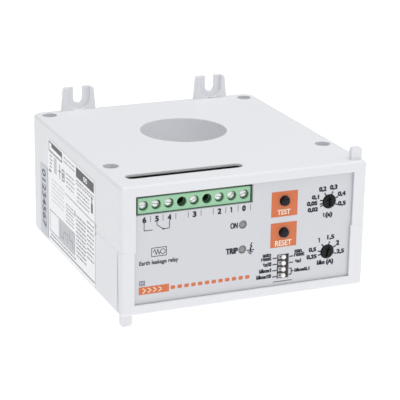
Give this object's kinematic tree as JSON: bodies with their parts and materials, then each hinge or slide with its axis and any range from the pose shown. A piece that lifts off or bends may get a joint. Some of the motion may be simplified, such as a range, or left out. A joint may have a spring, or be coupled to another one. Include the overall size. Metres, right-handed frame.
{
  "type": "residual current device",
  "caption": "Panel-mounted earth-leakage relay: a flat plastic box with a round cable passage through it, a terminal strip, setting dials, push buttons, lamps and fixing lugs.",
  "frame": {"origin": "centre of the four fixing lugs, on the plane of the panel behind the case, level with the split between the case halves", "axes": "+Y into the panel, so the fascia faces -Y; +Z along the cable passage, towards the side with the wire slot; +X to the right as seen from the front"},
  "size_m": [0.1003, 0.11, 0.0698],
  "materials": {
    "case_grey": "fine satin moulded",
    "fascia_grey": "printed satin film",
    "label_white": "satin printed sticker",
    "label_blue": "satin printed sticker",
    "terminal_green": "satin moulded",
    "bright_zinc": "bright zinc plate",
    "tinned_brass": "tin plated",
    "black_plastic": "satin moulded",
    "capacitor_black": "shrink sleeve",
    "white_plastic": "satin moulded",
    "lamp_grey": "smoked clear resin",
    "board_green": "solder resist",
    "relay_blue": "satin moulded",
    "core_steel": "stacked laminations",
    "ferrite_blue": "epoxy coated",
    "copper_wire": "enamelled copper wire"
  },
  "bodies": {
    "relay": {"upper_case_half": "case_grey", "lower_case_half": "case_grey", "fascia_plate": "fascia_grey", "rating_label": "label_white", "serial_label": "label_blue", "terminal_housing": "terminal_green", "case_screw_front_left": "bright_zinc", "case_screw_front_right": "bright_zinc", "case_screw_rear_left": "bright_zinc", "case_screw_rear_right": "bright_zinc", "contact_bar_6": "tinned_brass", "contact_bar_5": "tinned_brass", "contact_bar_4": "tinned_brass", "contact_bar_3": "tinned_brass", "contact_bar_2": "tinned_brass", "contact_bar_1": "tinned_brass", "contact_bar_0": "tinned_brass", "test_switch_body": "black_plastic", "reset_switch_body": "black_plastic", "on_lamp_spacer": "black_plastic", "trip_lamp_spacer": "black_plastic", "time_trimmer_body": "black_plastic", "current_trimmer_body": "black_plastic", "slide_switch_body": "black_plastic", "slide_switch_socket": "black_plastic", "sensor_lead": "black_plastic", "smoothing_capacitor_1": "capacitor_black", "smoothing_capacitor_2": "capacitor_black", "on_lamp": "lamp_grey", "trip_lamp": "lamp_grey", "control_board": "board_green", "output_relay": "relay_blue", "transformer_core": "core_steel", "ring_core": "ferrite_blue", "transformer_winding": "copper_wire", "secondary_winding": "copper_wire", "test_winding": "copper_wire"},
    "test_button": {"test_button": "black_plastic"},
    "reset_button": {"reset_button": "black_plastic"},
    "time_dial": {"time_dial": "black_plastic"},
    "current_dial": {"current_dial": "black_plastic"},
    "slider_reset_mode": {"slider_reset_mode": "white_plastic"},
    "slider_time_range": {"slider_time_range": "white_plastic"},
    "slider_current_x1": {"slider_current_x1": "white_plastic"},
    "slider_current_x10": {"slider_current_x10": "white_plastic"},
    "terminal_screw_6": {"terminal_screw_6": "bright_zinc"},
    "clamp_cage_6": {"clamp_cage_6": "bright_zinc"},
    "terminal_screw_5": {"terminal_screw_5": "bright_zinc"},
    "clamp_cage_5": {"clamp_cage_5": "bright_zinc"},
    "terminal_screw_4": {"terminal_screw_4": "bright_zinc"},
    "clamp_cage_4": {"clamp_cage_4": "bright_zinc"},
    "terminal_screw_3": {"terminal_screw_3": "bright_zinc"},
    "clamp_cage_3": {"clamp_cage_3": "bright_zinc"},
    "terminal_screw_2": {"terminal_screw_2": "bright_zinc"},
    "clamp_cage_2": {"clamp_cage_2": "bright_zinc"},
    "terminal_screw_1": {"terminal_screw_1": "bright_zinc"},
    "clamp_cage_1": {"clamp_cage_1": "bright_zinc"},
    "terminal_screw_0": {"terminal_screw_0": "bright_zinc"},
    "clamp_cage_0": {"clamp_cage_0": "bright_zinc"}
  },
  "joints": [
    {"name": "test_button_press", "type": "slide", "parent": "relay", "child": "test_button", "axis": [0, 1, 0], "range_m": [0, 0.0003], "stiffness_N_per_m": 1500, "springref_m": -0.0001},
    {"name": "reset_button_press", "type": "slide", "parent": "relay", "child": "reset_button", "axis": [0, 1, 0], "range_m": [0, 0.0003], "stiffness_N_per_m": 1500, "springref_m": -0.0001},
    {"name": "time_dial_turn", "type": "hinge", "parent": "relay", "child": "time_dial", "pos_m": [0.0348, -0.1094, 0.0102], "axis": [0, 1, 0], "range_deg": [-107.5, 127.5]},
    {"name": "current_dial_turn", "type": "hinge", "parent": "relay", "child": "current_dial", "pos_m": [0.0348, -0.1094, -0.0101], "axis": [0, 1, 0], "range_deg": [-125.5, 109.5]},
    {"name": "slider_reset_mode_slide", "type": "slide", "parent": "relay", "child": "slider_reset_mode", "axis": [-1, 0, 0], "range_m": [0, 0.0011]},
    {"name": "slider_time_range_slide", "type": "slide", "parent": "relay", "child": "slider_time_range", "axis": [-1, 0, 0], "range_m": [0, 0.0011]},
    {"name": "slider_current_x1_slide", "type": "slide", "parent": "relay", "child": "slider_current_x1", "axis": [-1, 0, 0], "range_m": [0, 0.0011]},
    {"name": "slider_current_x10_slide", "type": "slide", "parent": "relay", "child": "slider_current_x10", "axis": [-1, 0, 0], "range_m": [0, 0.0011]},
    {"name": "terminal_screw_6_turn", "type": "hinge", "parent": "relay", "child": "terminal_screw_6", "pos_m": [-0.0405, -0.1094, 0.01675], "axis": [0, 1, 0], "range_deg": [0, 1800]},
    {"name": "clamp_cage_6_draw", "type": "slide", "parent": "relay", "child": "clamp_cage_6", "axis": [0, -1, 0], "range_m": [0, 0.00225]},
    {"name": "terminal_screw_5_turn", "type": "hinge", "parent": "relay", "child": "terminal_screw_5", "pos_m": [-0.0355, -0.1094, 0.01675], "axis": [0, 1, 0], "range_deg": [0, 1800]},
    {"name": "clamp_cage_5_draw", "type": "slide", "parent": "relay", "child": "clamp_cage_5", "axis": [0, -1, 0], "range_m": [0, 0.00225]},
    {"name": "terminal_screw_4_turn", "type": "hinge", "parent": "relay", "child": "terminal_screw_4", "pos_m": [-0.0305, -0.1094, 0.01675], "axis": [0, 1, 0], "range_deg": [0, 1800]},
    {"name": "clamp_cage_4_draw", "type": "slide", "parent": "relay", "child": "clamp_cage_4", "axis": [0, -1, 0], "range_m": [0, 0.00225]},
    {"name": "terminal_screw_3_turn", "type": "hinge", "parent": "relay", "child": "terminal_screw_3", "pos_m": [-0.0205, -0.1094, 0.01675], "axis": [0, 1, 0], "range_deg": [0, 1800]},
    {"name": "clamp_cage_3_draw", "type": "slide", "parent": "relay", "child": "clamp_cage_3", "axis": [0, -1, 0], "range_m": [0, 0.00225]},
    {"name": "terminal_screw_2_turn", "type": "hinge", "parent": "relay", "child": "terminal_screw_2", "pos_m": [-0.0105, -0.1094, 0.01675], "axis": [0, 1, 0], "range_deg": [0, 1800]},
    {"name": "clamp_cage_2_draw", "type": "slide", "parent": "relay", "child": "clamp_cage_2", "axis": [0, -1, 0], "range_m": [0, 0.00225]},
    {"name": "terminal_screw_1_turn", "type": "hinge", "parent": "relay", "child": "terminal_screw_1", "pos_m": [-0.0055, -0.1094, 0.01675], "axis": [0, 1, 0], "range_deg": [0, 1800]},
    {"name": "clamp_cage_1_draw", "type": "slide", "parent": "relay", "child": "clamp_cage_1", "axis": [0, -1, 0], "range_m": [0, 0.00225]},
    {"name": "terminal_screw_0_turn", "type": "hinge", "parent": "relay", "child": "terminal_screw_0", "pos_m": [-0.0005, -0.1094, 0.01675], "axis": [0, 1, 0], "range_deg": [0, 1800]},
    {"name": "clamp_cage_0_draw", "type": "slide", "parent": "relay", "child": "clamp_cage_0", "axis": [0, -1, 0], "range_m": [0, 0.00225]}
  ],
  "couplings": [
    {"joint": "terminal_screw_6_turn", "follows": "clamp_cage_6_draw", "rad_per_m": 13963},
    {"joint": "terminal_screw_5_turn", "follows": "clamp_cage_5_draw", "rad_per_m": 13963},
    {"joint": "terminal_screw_4_turn", "follows": "clamp_cage_4_draw", "rad_per_m": 13963},
    {"joint": "terminal_screw_3_turn", "follows": "clamp_cage_3_draw", "rad_per_m": 13963},
    {"joint": "terminal_screw_2_turn", "follows": "clamp_cage_2_draw", "rad_per_m": 13963},
    {"joint": "terminal_screw_1_turn", "follows": "clamp_cage_1_draw", "rad_per_m": 13963},
    {"joint": "terminal_screw_0_turn", "follows": "clamp_cage_0_draw", "rad_per_m": 13963}
  ]
}
